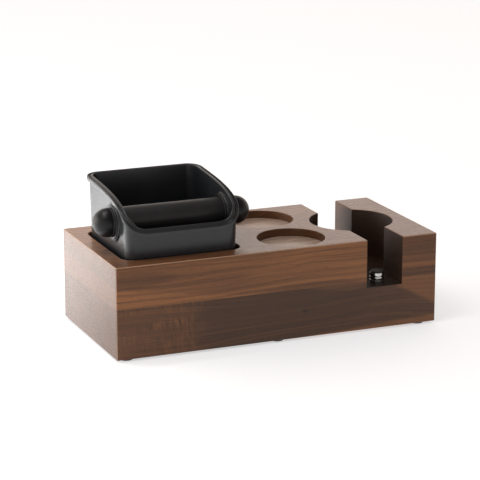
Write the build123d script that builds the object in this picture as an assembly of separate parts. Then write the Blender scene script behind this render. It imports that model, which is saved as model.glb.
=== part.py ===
from build123d import *
import math
import os

# Walnut espresso station with a lift-out knock box and a height-adjustable portafilter rest.
# X runs along the block, from the knock box (-X) to the portafilter cradle (+X). Y runs from
# the front (-Y) to the back, Z is up. The origin is on the surface that the feet stand on,
# under the middle of the block. All sizes are in millimetres.

# ---- Wooden block: two boards glued flat together ----
BLOCK_LENGTH = 300.0
BLOCK_WIDTH = 141.0
LOWER_THICKNESS = 44.0
UPPER_THICKNESS = 37.0
EDGE_EASE = 1.0  # rounding of the outer edges
MOUTH_EASE = 0.6  # chamfer round the seats' mouths
CUT = 1.0  # how far a cutting tool runs past the face it opens

# ---- Feet under the block ----
FOOT_XS = (-139.0, 0.0, 136.0)
FOOT_Y = 61.5
FOOT_RADIUS = 6.0
FOOT_HEIGHT = 5.0
FOOT_PROUD = 2.0  # how far a foot stands out of its socket
FOOT_GAP = 0.2  # between a foot and its socket wall
FOOT_EASE = 0.6
WASHER_BORE = 3.4  # radius of the foot's recess for its washer
WASHER_GAP = 0.1  # between the washer and that recess
WASHER_THICKNESS = 0.8
WASHER_TOP = FOOT_PROUD + 1.4
SCREW_HEAD_RADIUS = 3.0
SCREW_HEAD_HEIGHT = 1.6
SCREW_HEAD_EASE = 0.7
SCREW_CROSS = (3.2, 0.8)  # length and width of the cross recess, half as deep as the head
SCREW_SHANK_RADIUS = 1.5
SCREW_SHANK_LENGTH = 12.0
SCREW_SHANK_GAP = 0.05  # between the shank and its pilot hole
SCREW_CLEARANCE = 0.2  # between the shank and the foot and washer
PILOT_DEPTH = 10.0  # of the pilot hole above the foot

UNDERSIDE = FOOT_PROUD
SEAM = UNDERSIDE + LOWER_THICKNESS
TOP = SEAM + UPPER_THICKNESS

# ---- Pocket for the knock box ----
POCKET_X = -81.4
POCKET_LENGTH = 108.6
POCKET_WIDTH = 105.4
POCKET_CORNER = 11.5
POCKET_FLOOR = UNDERSIDE + 26.0

# ---- Round seats for a 58 mm tamper and distributor ----
SEAT_X = 25.0
SEAT_Y = 34.5
SEAT_RADIUS = 30.0
SEAT_DEPTH = 6.8

# ---- Portafilter cradle: a round well crossed by a slot ----
CRADLE_X = 99.5
CRADLE_RADIUS = 37.5
SLOT_WIDTH = 34.0
CRADLE_FLOOR = UNDERSIDE + 38.0

# ---- Adjustable rest in the slot ----
REST_X = CRADLE_X
REST_Y = -54.5
STUD_RADIUS = 3.0  # M6
STUD_LENGTH = 28.0
THREAD_GAP = 0.06  # radial, so that the stud turns in its nuts
STUD_EASE = 0.5
STUD_HOLE_GAP = 0.5  # between the stud and the plain hole under its insert
STUD_HOLE_FLOOR = 5.0  # wood left under that hole
INSERT_RADIUS = 4.5
INSERT_LENGTH = 15.0
INSERT_SUNK = 0.2  # below the slot's floor
LOCK_RADIUS = 6.2
LOCK_HEIGHT = 2.4
LOCK_EASE = 0.3
LOCK_NOTCHES = 12
NOTCH_RADIUS = 0.5
NOTCH_OUT = 0.2  # from the ring's edge to a notch's centre
CAP_RADIUS = 6.3
CAP_HEIGHT = 5.4
CAP_LIFT = 1.0  # shadow gap between the lock ring and the cap
CAP_RECESS_RADIUS = 5.4
CAP_RECESS_DEPTH = 1.0
CAP_EASE = 0.4
CAP_ROOF = 0.8  # metal between the stud's end and the pad
PAD_RADIUS = 6.1
PAD_HEIGHT = 1.2
PAD_EASE = 0.4
PAD_GAP = 0.05

# ---- Knock box (bin) ----
BIN_X = -81.8
BIN_STAND = 0.8  # the pads hold the bin this far off the pocket's floor
BIN_HALF_X = 49.2  # half the bin's size at its underside
BIN_HALF_Y = 50.2
BIN_DRAFT = 1.3  # degrees, wider at the top
BIN_CORNER = 8.5  # outside corner radius at the underside
BIN_WALL = 3.0
BIN_FLOOR = 3.2
BIN_BOTTOM_ROUND = 4.0
RIM_FLANGE = 2.1  # how far the rim stands out from the wall
RIM_HEIGHT = 4.3
RIM_START = 40.0  # the rim's outer face is drafted from this height above the underside
BIN_TALL = 120.0  # more than the bin's height

# The rim, seen from the side, is almost level at the back and falls ever faster to the front.
RIM_BACK_Z = 134.8  # above the block's underside, at the rim's back edge
RIM_REACH = 56.0  # from the bin's middle to the rim's front and back edges
RIM_SLOPE = 6.5  # steady fall over the whole depth
RIM_BEND = 13.0  # further fall over the front half
RIM_NOSE = 13.0  # last steep fall at the front corners
# The front wall is cut down to a lip that slopes outwards and sweeps up into the corners.
LIP_Y = -49.2
LIP_Z = 106.3
LIP_TILT = 25.0
LIP_SWEEP = 16.2  # rise of the lip at the side walls
LIP_POWER = 11.5
LINE_STEPS = 32  # pieces that a rim line is drawn with
BIN_BOTTOM = POCKET_FLOOR + BIN_STAND

# ---- Rubber pads under the bin ----
PAD_SPREAD = 36.0  # from the bin's middle, in X and Y
BIN_PAD_RADIUS = 5.0
BIN_PAD_HEIGHT = 1.6
BIN_PAD_EASE = 0.4
BIN_PAD_GAP = 0.1  # between a pad and its recess

# ---- Knock bar ----
BAR_Y = -17.5
BAR_Z = UNDERSIDE + 106.5
BAR_RADIUS = 12.5
BAR_LEFT_TIP = -151.4
BAR_RIGHT_TIP = -8.6
END_CAP_LENGTH = 14.5
SEAM_GROOVE = 0.5  # chamfer where the sleeve meets an end cap
ROD_RADIUS = 8.0
ROD_GAP = 0.05  # radial, between the rod and the sleeve
ROD_END_GAP = 0.4  # between the rod's end and the cap
ROD_EASE = 0.5
ROD_BORE_DEPTH = 18.0
CAP_STUD_RADIUS = 3.0  # M6
CAP_STUD_REACH = 14.0  # how far the stud stands out of its end cap
CAP_STUD_INSET = 2.0  # rubber over the stud's head
CAP_STUD_HEAD_RADIUS = 6.0
CAP_STUD_HEAD = 2.0

# ---- Bar bushes in the bin's side walls ----
BUSH_GAP = 0.09  # radial running clearance round the bar
BUSH_WALL = 1.4
BUSH_SEAT_GAP = 0.05  # radial, between the bush and its boss
BUSH_EASE = 0.25
BUSH_FLANGE_RADIUS = 15.0
BUSH_FLANGE = 1.0
BOSS_RADIUS = 16.4
BOSS_OUT = 1.4  # how far the boss stands out of the side wall at the bar's height
BOSS_IN = 1.0


def save(name, shape):
    """Writes one node's STEP file."""
    shape.label = name
    export_step(shape, f"parts/{name}.step")


def box_between(low, high):
    """Box from its lowest corner to its highest corner."""
    size = [b - a for a, b in zip(low, high)]
    corner = (Align.MIN, Align.MIN, Align.MIN)
    return Pos(*low) * Box(*size, align=corner)


def disc(x, y, low, high, radius):
    """Upright cylinder from one height to another."""
    base = (Align.CENTER, Align.CENTER, Align.MIN)
    return Pos(x, y, low) * Cylinder(radius, high - low, align=base)


def rod_along_x(start, end, radius):
    """Cylinder on the knock bar's axis between two X positions."""
    base = (Align.CENTER, Align.CENTER, Align.MIN)
    return Pos(start, BAR_Y, BAR_Z) * Rot(0, 90, 0) * Cylinder(radius, end - start, align=base)


# ---- Wooden block ----


def pocket():
    """Space that the knock box stands in."""
    outline = RectangleRounded(POCKET_LENGTH, POCKET_WIDTH, POCKET_CORNER)
    return Pos(POCKET_X, 0, POCKET_FLOOR) * extrude(outline, amount=TOP)


def cradle_space():
    """Round well and the slot across it."""
    well = disc(CRADLE_X, 0, CRADLE_FLOOR, TOP + CUT, CRADLE_RADIUS)
    slot = box_between(
        (CRADLE_X - SLOT_WIDTH / 2, -BLOCK_WIDTH, CRADLE_FLOOR),
        (CRADLE_X + SLOT_WIDTH / 2, BLOCK_WIDTH, TOP + CUT),
    )
    return well + slot


def seat(y):
    """Round recess with a chamfered mouth."""
    recess = disc(SEAT_X, y, TOP - SEAT_DEPTH, TOP, SEAT_RADIUS)
    mouth = Pos(SEAT_X, y, TOP - MOUTH_EASE / 2) * Cone(
        SEAT_RADIUS, SEAT_RADIUS + MOUTH_EASE, MOUTH_EASE
    )
    return recess + mouth


def foot_places():
    """Foot centres, a row along each long edge."""
    return [(x, y) for x in FOOT_XS for y in (-FOOT_Y, FOOT_Y)]


def lower_board():
    board = box_between(
        (-BLOCK_LENGTH / 2, -BLOCK_WIDTH / 2, UNDERSIDE),
        (BLOCK_LENGTH / 2, BLOCK_WIDTH / 2, SEAM),
    )
    board = fillet(board.edges().filter_by(Axis.Z), EDGE_EASE)
    board = fillet(board.faces().sort_by(Axis.Z)[0].edges(), EDGE_EASE)
    board = board - pocket() - cradle_space()
    insert_bottom = CRADLE_FLOOR - INSERT_LENGTH
    board -= disc(REST_X, REST_Y, insert_bottom, CRADLE_FLOOR + CUT, INSERT_RADIUS)
    hole_bottom = UNDERSIDE + STUD_HOLE_FLOOR
    board -= disc(REST_X, REST_Y, hole_bottom, CRADLE_FLOOR, STUD_RADIUS + STUD_HOLE_GAP)
    for x, y in foot_places():
        board -= disc(x, y, 0, FOOT_HEIGHT, FOOT_RADIUS + FOOT_GAP)
        board -= disc(x, y, 0, FOOT_HEIGHT + PILOT_DEPTH, SCREW_SHANK_RADIUS)
    return board


def top_layer():
    """Upper board before the slot parts it."""
    board = box_between(
        (-BLOCK_LENGTH / 2, -BLOCK_WIDTH / 2, SEAM),
        (BLOCK_LENGTH / 2, BLOCK_WIDTH / 2, TOP),
    )
    board = fillet(board.edges().filter_by(Axis.Z), EDGE_EASE)
    board = fillet(board.faces().sort_by(Axis.Z)[-1].edges(), EDGE_EASE)
    return board - pocket() - cradle_space() - seat(-SEAT_Y) - seat(SEAT_Y)


def foot(x, y):
    """Rubber foot with a stepped hole for its washer and screw."""
    body = disc(x, y, 0, FOOT_HEIGHT, FOOT_RADIUS)
    body = fillet(body.edges().sort_by(Axis.Z)[0], FOOT_EASE)
    body -= disc(x, y, 0, WASHER_TOP, WASHER_BORE)
    return body - disc(x, y, 0, FOOT_HEIGHT, SCREW_SHANK_RADIUS + SCREW_CLEARANCE)


def foot_washer(x, y):
    ring = disc(x, y, WASHER_TOP - WASHER_THICKNESS, WASHER_TOP, WASHER_BORE - WASHER_GAP)
    return ring - disc(x, y, 0, WASHER_TOP, SCREW_SHANK_RADIUS + SCREW_CLEARANCE)


def foot_screw(x, y):
    """Pan-head screw with a cross recess."""
    seat_z = WASHER_TOP - WASHER_THICKNESS
    head = disc(x, y, seat_z - SCREW_HEAD_HEIGHT, seat_z, SCREW_HEAD_RADIUS)
    head = fillet(head.edges().sort_by(Axis.Z)[0], SCREW_HEAD_EASE)
    long_side, short_side = SCREW_CROSS
    bar = Box(long_side, short_side, SCREW_HEAD_HEIGHT)
    recess = Pos(x, y, seat_z - SCREW_HEAD_HEIGHT) * (bar + Rot(0, 0, 90) * bar)
    shank_top = seat_z + SCREW_SHANK_LENGTH
    shank = disc(x, y, seat_z, shank_top, SCREW_SHANK_RADIUS - SCREW_SHANK_GAP)
    return head - recess + shank


# ---- Adjustable rest ----

LOCK_TOP = CRADLE_FLOOR + LOCK_HEIGHT
CAP_BOTTOM = LOCK_TOP + CAP_LIFT
CAP_TOP = CAP_BOTTOM + CAP_HEIGHT
STUD_TOP = CAP_TOP - CAP_RECESS_DEPTH - CAP_ROOF


def rest_insert():
    """Threaded brass insert, flush with the slot's floor."""
    bottom = CRADLE_FLOOR - INSERT_LENGTH
    body = disc(REST_X, REST_Y, bottom, CRADLE_FLOOR - INSERT_SUNK, INSERT_RADIUS)
    return body - disc(REST_X, REST_Y, 0, TOP, STUD_RADIUS + THREAD_GAP)


def rest_lock_nut():
    """Thin round ring with finger notches."""
    ring = disc(REST_X, REST_Y, CRADLE_FLOOR, LOCK_TOP, LOCK_RADIUS)
    ring = chamfer(ring.edges().filter_by(GeomType.CIRCLE), LOCK_EASE)
    ring -= disc(REST_X, REST_Y, 0, TOP, STUD_RADIUS + THREAD_GAP)
    for i in range(LOCK_NOTCHES):
        turn = Pos(REST_X, REST_Y, 0) * Rot(0, 0, i * 360 / LOCK_NOTCHES)
        ring -= turn * disc(LOCK_RADIUS + NOTCH_OUT, 0, 0, TOP, NOTCH_RADIUS)
    return ring


def rest_cap():
    """Round cap with a recess for the pad and a blind hole for the stud."""
    body = disc(REST_X, REST_Y, CAP_BOTTOM, CAP_TOP, CAP_RADIUS)
    body = fillet(body.edges().filter_by(GeomType.CIRCLE), CAP_EASE)
    body -= disc(REST_X, REST_Y, CAP_TOP - CAP_RECESS_DEPTH, CAP_TOP + CUT, CAP_RECESS_RADIUS)
    return body - disc(REST_X, REST_Y, CAP_BOTTOM - CUT, STUD_TOP, STUD_RADIUS)


def rest_stud():
    """M6 stud, threads left as a plain shank."""
    body = disc(REST_X, REST_Y, STUD_TOP - STUD_LENGTH, STUD_TOP, STUD_RADIUS)
    return chamfer(body.edges().sort_by(Axis.Z)[0], STUD_EASE)


def rest_pad():
    """Rubber pad with a spigot in the cap's recess."""
    head = disc(REST_X, REST_Y, CAP_TOP, CAP_TOP + PAD_HEIGHT, PAD_RADIUS)
    head = fillet(head.edges().sort_by(Axis.Z)[-1], PAD_EASE)
    spigot_radius = CAP_RECESS_RADIUS - PAD_GAP
    return head + disc(REST_X, REST_Y, CAP_TOP - CAP_RECESS_DEPTH, CAP_TOP, spigot_radius)


# ---- Knock box ----


THROUGH_BIN = (BIN_X - 2 * BIN_HALF_X, BIN_X + 2 * BIN_HALF_X)


def bin_half_x(z):
    """Half the bin's outside length at a height."""
    return BIN_HALF_X + (z - BIN_BOTTOM) * math.tan(math.radians(BIN_DRAFT))


def bin_block(out, bottom):
    """Solid with the bin's drafted shape, set outwards by out, from a height upwards."""
    spread = out + (bottom - BIN_BOTTOM) * math.tan(math.radians(BIN_DRAFT))
    outline = RectangleRounded(
        2 * (BIN_HALF_X + spread), 2 * (BIN_HALF_Y + spread), BIN_CORNER + spread
    )
    return Pos(BIN_X, 0, bottom) * extrude(outline, amount=BIN_TALL, taper=-BIN_DRAFT)


def side_line(y):
    """Height of the rim along the side walls, above the block's underside."""
    fall = (RIM_REACH - y) / (2 * RIM_REACH)
    return RIM_BACK_Z - RIM_SLOPE * fall - RIM_BEND * fall**4.5 - RIM_NOSE * fall**14


def lip_line(x):
    """Height of the front lip above its middle, for x measured from the bin's middle."""
    return LIP_SWEEP * (abs(x) / (BIN_HALF_X - 1)) ** LIP_POWER


def area_under(line):
    """Face between a line over -RIM_REACH..RIM_REACH and a level far below it."""
    places = [RIM_REACH * (2 * i / LINE_STEPS - 1) for i in range(LINE_STEPS + 1)]
    points = [(place, line(place)) for place in places]
    low = -BIN_TALL
    base = Polyline(points[-1], (RIM_REACH, low), (-RIM_REACH, low), points[0])
    return make_face([Spline(*points), *base.edges()])


def under_rim(drop):
    """Everything under the rim's side line and its lip, after both move down by drop."""
    side = extrude(Plane.YZ * area_under(side_line), amount=RIM_REACH, both=True)
    slope = math.radians(LIP_TILT)
    trough = Plane((0, LIP_Y, LIP_Z), x_dir=(1, 0, 0), z_dir=(0, -1, 0)) * area_under(lip_line)
    along = (0, math.cos(slope), math.sin(slope))
    lip = extrude(trough, amount=3 * RIM_REACH, dir=along)
    lip += extrude(trough, amount=RIM_REACH, dir=tuple(-c for c in along))
    return Pos(BIN_X, 0, UNDERSIDE - drop) * (side & lip)


def boss(side):
    """Round boss in a side wall, flat on its outer face, for the bar's bush."""
    wall = BIN_X + side * bin_half_x(BAR_Z)
    ends = sorted((wall + side * BOSS_OUT, wall - side * (BIN_WALL + BOSS_IN)))
    return rod_along_x(*ends, BOSS_RADIUS)


def knock_bin():
    shell = bin_block(0, BIN_BOTTOM)
    shell = fillet(shell.faces().sort_by(Axis.Z)[0].edges(), BIN_BOTTOM_ROUND)
    flange = bin_block(RIM_FLANGE, BIN_BOTTOM + RIM_START) - under_rim(RIM_HEIGHT)
    inside = bin_block(-BIN_WALL, BIN_BOTTOM + BIN_FLOOR)
    inside = fillet(inside.faces().sort_by(Axis.Z)[0].edges(), BIN_BOTTOM_ROUND)
    body = ((shell + flange) & under_rim(0)) - inside
    for side in (-1, 1):
        body += boss(side)
    body -= rod_along_x(*THROUGH_BIN, BAR_RADIUS + BUSH_GAP + BUSH_WALL)
    for x, y in bin_pad_places():
        body -= disc(x, y, 0, POCKET_FLOOR + BIN_PAD_HEIGHT, BIN_PAD_RADIUS + BIN_PAD_GAP)
    return body


def bin_pad_places():
    return [(BIN_X + i * PAD_SPREAD, j * PAD_SPREAD) for i in (-1, 1) for j in (-1, 1)]


def bin_pad(x, y):
    pad = disc(x, y, POCKET_FLOOR, POCKET_FLOOR + BIN_PAD_HEIGHT, BIN_PAD_RADIUS)
    return fillet(pad.edges().sort_by(Axis.Z)[0], BIN_PAD_EASE)


# ---- Knock bar ----


def bush(side):
    """Liner through a boss, with a flange on each face."""
    wall = BIN_X + side * bin_half_x(BAR_Z)
    outer = wall + side * BOSS_OUT
    inner = wall - side * (BIN_WALL + BOSS_IN)
    bore = BAR_RADIUS + BUSH_GAP
    body = rod_along_x(*sorted((outer, inner)), bore + BUSH_WALL - BUSH_SEAT_GAP)
    for face, out in ((outer, side), (inner, -side)):
        ring = rod_along_x(*sorted((face, face + out * BUSH_FLANGE)), BUSH_FLANGE_RADIUS)
        body += chamfer(ring.edges().filter_by(GeomType.CIRCLE), BUSH_EASE)
    return body - rod_along_x(*THROUGH_BIN, bore)


SLEEVE_LEFT = BAR_LEFT_TIP + END_CAP_LENGTH
SLEEVE_RIGHT = BAR_RIGHT_TIP - END_CAP_LENGTH


def bar_sleeve():
    """Thick rubber tube over the rod."""
    body = rod_along_x(SLEEVE_LEFT, SLEEVE_RIGHT, BAR_RADIUS)
    body = chamfer(body.edges().filter_by(GeomType.CIRCLE), SEAM_GROOVE)
    return body - rod_along_x(SLEEVE_LEFT, SLEEVE_RIGHT, ROD_RADIUS + ROD_GAP)


def bar_rod():
    """Steel rod with a tapped hole in each end."""
    start = SLEEVE_LEFT + ROD_END_GAP
    end = SLEEVE_RIGHT - ROD_END_GAP
    body = rod_along_x(start, end, ROD_RADIUS)
    body = chamfer(body.edges().filter_by(GeomType.CIRCLE), ROD_EASE)
    bore = CAP_STUD_RADIUS + THREAD_GAP
    body -= rod_along_x(start, start + ROD_BORE_DEPTH, bore)
    return body - rod_along_x(end - ROD_BORE_DEPTH, end, bore)


def end_cap(tip, side):
    """Domed rubber end, moulded round the head of its stud."""
    straight = END_CAP_LENGTH - BAR_RADIUS
    edge = Polyline((0, 0), (0, BAR_RADIUS - SEAM_GROOVE), (SEAM_GROOVE, BAR_RADIUS),
                    (straight, BAR_RADIUS))
    dome = JernArc((straight, BAR_RADIUS), (1, 0), BAR_RADIUS, -90)
    middle = Line((END_CAP_LENGTH, 0), (0, 0))
    body = revolve(make_face([*edge.edges(), dome, middle]), Axis.X)
    turn = Rot(0, 0, 0 if side > 0 else 180)
    return Pos(tip - side * END_CAP_LENGTH, BAR_Y, BAR_Z) * turn * body - cap_stud(tip, side)


def cap_stud(tip, side):
    """Stud with a round head held in the rubber."""
    face = tip - side * END_CAP_LENGTH
    inner = face + side * CAP_STUD_INSET
    head = rod_along_x(*sorted((inner, inner + side * CAP_STUD_HEAD)), CAP_STUD_HEAD_RADIUS)
    shank = sorted((inner, face - side * CAP_STUD_REACH))
    return head + rod_along_x(*shank, CAP_STUD_RADIUS)


def main():
    os.makedirs("parts", exist_ok=True)
    save("lower_board", lower_board())
    left_part, right_part = top_layer().solids().sort_by(Axis.X)
    save("upper_board", left_part)
    save("cradle_tower", right_part)
    save("rubber_feet", Compound([foot(x, y) for x, y in foot_places()]))
    save("foot_washers", Compound([foot_washer(x, y) for x, y in foot_places()]))
    save("foot_screws", Compound([foot_screw(x, y) for x, y in foot_places()]))
    save("rest_insert", rest_insert())
    save("rest_lock_nut", rest_lock_nut())
    save("rest_cap", rest_cap())
    save("rest_stud", rest_stud())
    save("rest_pad", rest_pad())
    save("knock_bin", knock_bin())
    save("bin_pads", Compound([bin_pad(x, y) for x, y in bin_pad_places()]))
    save("left_bush", bush(-1))
    save("right_bush", bush(1))
    save("bar_sleeve", bar_sleeve())
    save("bar_rod", bar_rod())
    save("left_end_cap", end_cap(BAR_LEFT_TIP, -1))
    save("right_end_cap", end_cap(BAR_RIGHT_TIP, 1))
    save("left_cap_stud", cap_stud(BAR_LEFT_TIP, -1))
    save("right_cap_stud", cap_stud(BAR_RIGHT_TIP, 1))


main()
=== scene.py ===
import math

import bmesh
import bpy
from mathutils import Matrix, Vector
from mathutils.geometry import delaunay_2d_cdt


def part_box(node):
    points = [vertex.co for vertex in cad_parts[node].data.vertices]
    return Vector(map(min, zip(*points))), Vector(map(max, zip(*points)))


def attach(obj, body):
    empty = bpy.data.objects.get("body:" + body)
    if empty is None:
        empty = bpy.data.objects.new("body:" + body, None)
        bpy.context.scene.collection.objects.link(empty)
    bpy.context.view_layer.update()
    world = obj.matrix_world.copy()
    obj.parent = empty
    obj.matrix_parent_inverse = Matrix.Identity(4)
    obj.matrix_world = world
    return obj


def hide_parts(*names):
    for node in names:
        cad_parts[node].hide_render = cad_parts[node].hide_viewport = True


# Walnut espresso station with a lift-out knock box, two round tool seats and a slotted cradle
# with a screw rest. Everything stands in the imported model's frame: +X runs from the knock box to
# the cradle, +Y to the back, +Z up. Shapes are worked out in millimetres, and meshes, lights and
# the camera are in metres.

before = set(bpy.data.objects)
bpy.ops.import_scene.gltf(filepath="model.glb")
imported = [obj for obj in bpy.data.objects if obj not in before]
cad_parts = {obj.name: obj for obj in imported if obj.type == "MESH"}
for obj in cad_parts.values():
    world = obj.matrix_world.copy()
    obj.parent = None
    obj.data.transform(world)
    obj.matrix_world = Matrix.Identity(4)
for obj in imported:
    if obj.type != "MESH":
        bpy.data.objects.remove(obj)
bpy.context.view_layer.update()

MM = 0.001


def as_mm(node):
    """A CAD node's lowest and highest corners, in millimetres."""
    low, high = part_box(node)
    return low / MM, high / MM


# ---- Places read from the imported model, in millimetres ----
LOWER, LOWER_END = as_mm("lower_board")
UPPER, UPPER_END = as_mm("upper_board")
TOWER, TOWER_END = as_mm("cradle_tower")
BIN, BIN_END = as_mm("knock_bin")
SLEEVE, SLEEVE_END = as_mm("bar_sleeve")
LEFT_TIP = as_mm("left_end_cap")[0].x
RIGHT_TIP = as_mm("right_end_cap")[1].x
CAP, CAP_END = as_mm("rest_cap")
PAD, PAD_END = as_mm("rest_pad")
STUD, STUD_END = as_mm("rest_stud")
POCKET_FLOOR = as_mm("bin_pads")[0].z
INSERT_FLOOR = as_mm("rest_insert")[0].z

UNDERSIDE, SEAM, TOP = LOWER.z, LOWER_END.z, UPPER_END.z
FRONT, BACK = LOWER.y, LOWER_END.y
BAR_Y = (SLEEVE.y + SLEEVE_END.y) / 2
BAR_Z = (SLEEVE.z + SLEEVE_END.z) / 2
BAR_RADIUS = (SLEEVE_END.z - SLEEVE.z) / 2
REST = ((CAP.x + CAP_END.x) / 2, (CAP.y + CAP_END.y) / 2)
REST_FLOOR = as_mm("rest_lock_nut")[0].z

# ---- Wood, in millimetres ----
EDGE_EASE = 0.7
CORNER = 1.2  # rounding of the upright corners
SUPPORT = 0.25  # flat strip beside a rounding, which keeps the large faces flat in shading
POCKET_CENTRE = (-81.4, 0.0)
POCKET_SIZE = (108.6, 105.4)
POCKET_CORNER = 11.5
SEATS = ((25.0, -34.5), (25.0, 34.5))
SEAT_RADIUS = 30.0
SEAT_DEPTH = 6.8
WELL_RADIUS = 37.5
FOOT_XS = (-139.0, 0.0, 136.0)
FOOT_Y = 61.5
SOCKET_RADIUS = 6.2
SOCKET_DEPTH = 3.0
INSERT_RADIUS = 4.5
EASE_STEPS = 4  # faces round an eased edge
POCKET_STEPS = 16  # faces round a corner of the pocket
WELL_STEPS = 56  # faces round each half of the well
SEAT_STEPS, INSERT_STEPS, SOCKET_STEPS = 128, 64, 48  # faces round each hole

# ---- Knock box, in millimetres ----
BIN_CENTRE = (BIN.x + BIN_END.x) / 2
BIN_BOTTOM = BIN.z
BIN_HALF_X = 49.2  # at the underside
BIN_HALF_Y = 50.2
BIN_CORNER = 8.5
DRAFT = math.tan(math.radians(1.3))
BIN_WALL = 3.0
BIN_FLOOR = 3.2
BIN_ROUND = 4.0  # rounding between the walls and the floor
UNDER_STRIP, FLOOR_STRIP = 0.5, 0.4  # flat strips beside that rounding, outside and inside
RIM_FLANGE = 2.1
RIM_HEIGHT = 4.3
RIM_FILLET = 0.45  # between the wall and the flange's underside
RIM_ROUND = 0.5  # of the flange's lower edge
BEAD = 0.85  # radius of the bead along the rim's inner edge
BEAD_DEPTH = 1.4  # from the bead's top to the inner wall's first row
RIM_DROP = 0.5  # from the bead's top to the top of the flange
RIM_LIP = 0.45  # rounding of the flange's top
GROOVE = (0.15, -1.4)  # between the bead and the flange, out from the wall and up
GROOVE_RADIUS = 0.9
RIM_BACK_Z = BIN_END.z
RIM_REACH = 56.0  # from the bin's middle to the rim's front and back edges
RIM_SLOPE = 6.5  # steady fall of the side rims over the whole depth
RIM_BEND, BEND_POWER = 13.0, 4.5  # further fall over the front half
RIM_NOSE, NOSE_POWER = 13.0, 14  # last steep fall at the front corners
LIP_Y = -49.2
LIP_Z = UNDERSIDE + 106.3
LIP_TILT = math.tan(math.radians(25))
LIP_SWEEP, LIP_POWER = 16.2, 11.5  # rise of the lip at the side walls
LIP_HALF = BIN_HALF_X - 1  # from the bin's middle, where that rise is full
RIM_BLEND = 3.0  # how softly the side line turns into the lip
BOSS_RADIUS = 16.4
BOSS_OUT = 1.4
BOSS_IN = 1.0
BORE_RADIUS = 13.99
# From the wall to the boss's face, as a radius and the share of the step that it has risen.
BOSS_STEP = ((BOSS_RADIUS + 0.35, 0.0), (BOSS_RADIUS + 0.2, 0.10), (BOSS_RADIUS + 0.1, 0.35),
             (BOSS_RADIUS + 0.05, 0.65), (BOSS_RADIUS - 0.1, 0.88), (BOSS_RADIUS - 0.4, 1.0),
             (BORE_RADIUS, 1.0))
PATCH_HALF = 19.0  # half the square of wall round a boss
PATCH_CELLS = 24  # along each side of that square
SIDE_CELLS = (3, 14)  # along a side wall, in front of that square and behind it
FRONT_CELLS = 34
CORNER_CELLS = 12
WALL_ROWS, INNER_ROWS = 6, 5  # of cells below the boss, outside and inside
ROUND_STEPS = 6  # faces round the rounding at the floor
FLANGE_STEPS, LIP_STEPS, BEAD_STEPS = 3, 8, 10  # faces round the rim's small curves

# ---- Knock bar and bushes, in millimetres ----
END_CAP_LENGTH = 14.5
RUBBER_EASE = 0.6
BUSH_BORE = BAR_RADIUS + 0.09
BUSH_WALL = 1.3
BUSH_FLANGE_RADIUS = 15.0
BUSH_FLANGE = 1.0
BUSH_EASE = 0.3
DOME_STEPS = 32  # faces from a dome's edge to its tip

# ---- Rest, in millimetres ----
CAP_GROOVE_UP = 1.7  # from the cap's underside to its groove
CAP_GROOVE = (0.5, 0.35)  # height and depth
CAP_EASE = 0.2
PAD_EASE = 0.45
PAD_GAP = 0.02  # keeps the pad's underside clear of the turning cap
THREAD_PITCH = 1.0
THREAD_DEPTH = 0.55
THREAD_STEPS = 48  # points round one turn
STUD_TAPER = 0.6  # at the stud's lower end

LATHE_STEPS = 96  # points round a turned shape
SHARP_FROM = math.radians(20)  # an outline turns more than this at a corner that gets a round
SMOOTH_BELOW = math.radians(32)  # edges sharper than this stay crisp
TOUCH = 1e-3  # millimetres, the distance at which a point is on a face
WELD = 2e-6  # metres, the distance at which points are one
SPIKE_LIMIT = 0.3  # keeps an inset outline from spiking at a sharp corner


# ---- Outline and mesh helpers ----


def eased(corners, radius, steps=5, closed=True):
    """An outline with a round of that radius at each sharp corner."""
    result = []
    count = len(corners)
    for i, corner in enumerate(corners):
        here = Vector(corner)
        if not closed and i in (0, count - 1):
            result.append(tuple(here))
            continue
        before = (Vector(corners[i - 1]) - here).normalized()
        after = (Vector(corners[(i + 1) % count]) - here).normalized()
        turn = math.pi - before.angle(after)
        if turn < SHARP_FROM:
            result.append(tuple(here))
            continue
        reach = radius * math.tan(turn / 2)
        middle = here + (before + after).normalized() * radius / math.cos(turn / 2)
        start = here + before * reach - middle
        end = here + after * reach - middle
        for k in range(steps + 1):
            share = k / steps
            arm = start * math.sin((1 - share) * turn) + end * math.sin(share * turn)
            result.append(tuple(middle + arm / math.sin(turn)))
    return result


def arc(centre, radius, start, end, steps):
    """Points on an arc, angles in degrees, both ends included."""
    angles = [math.radians(start + (end - start) * k / steps) for k in range(steps + 1)]
    return [(centre[0] + radius * math.cos(a), centre[1] + radius * math.sin(a)) for a in angles]


def hole(centre, radius, steps):
    """A full circle, clockwise, so that the wood is on its left."""
    return arc(centre, radius, 360, 0, steps)[:-1]


def inset(outline, amount):
    """The outline moved to its left by amount, which is inwards on an anticlockwise one."""
    moved = []
    count = len(outline)
    for i, point in enumerate(outline):
        here = Vector(point)
        ahead = (Vector(outline[(i + 1) % count]) - here).normalized()
        behind = (here - Vector(outline[i - 1])).normalized()
        across = Vector((-ahead.y - behind.y, ahead.x + behind.x)).normalized()
        stretch = 1 / max(SPIKE_LIMIT, across.dot(Vector((-ahead.y, ahead.x))))
        moved.append(tuple(here + across * amount * stretch))
    return moved


def encloses(outline, point):
    """Whether a closed outline has the point inside it."""
    inside = False
    for a, b in zip(outline, [*outline[1:], outline[0]]):
        if (a.y > point.y) != (b.y > point.y):
            crossing = a.x + (point.y - a.y) * (b.x - a.x) / (b.y - a.y)
            inside ^= point.x < crossing
    return inside


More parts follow.
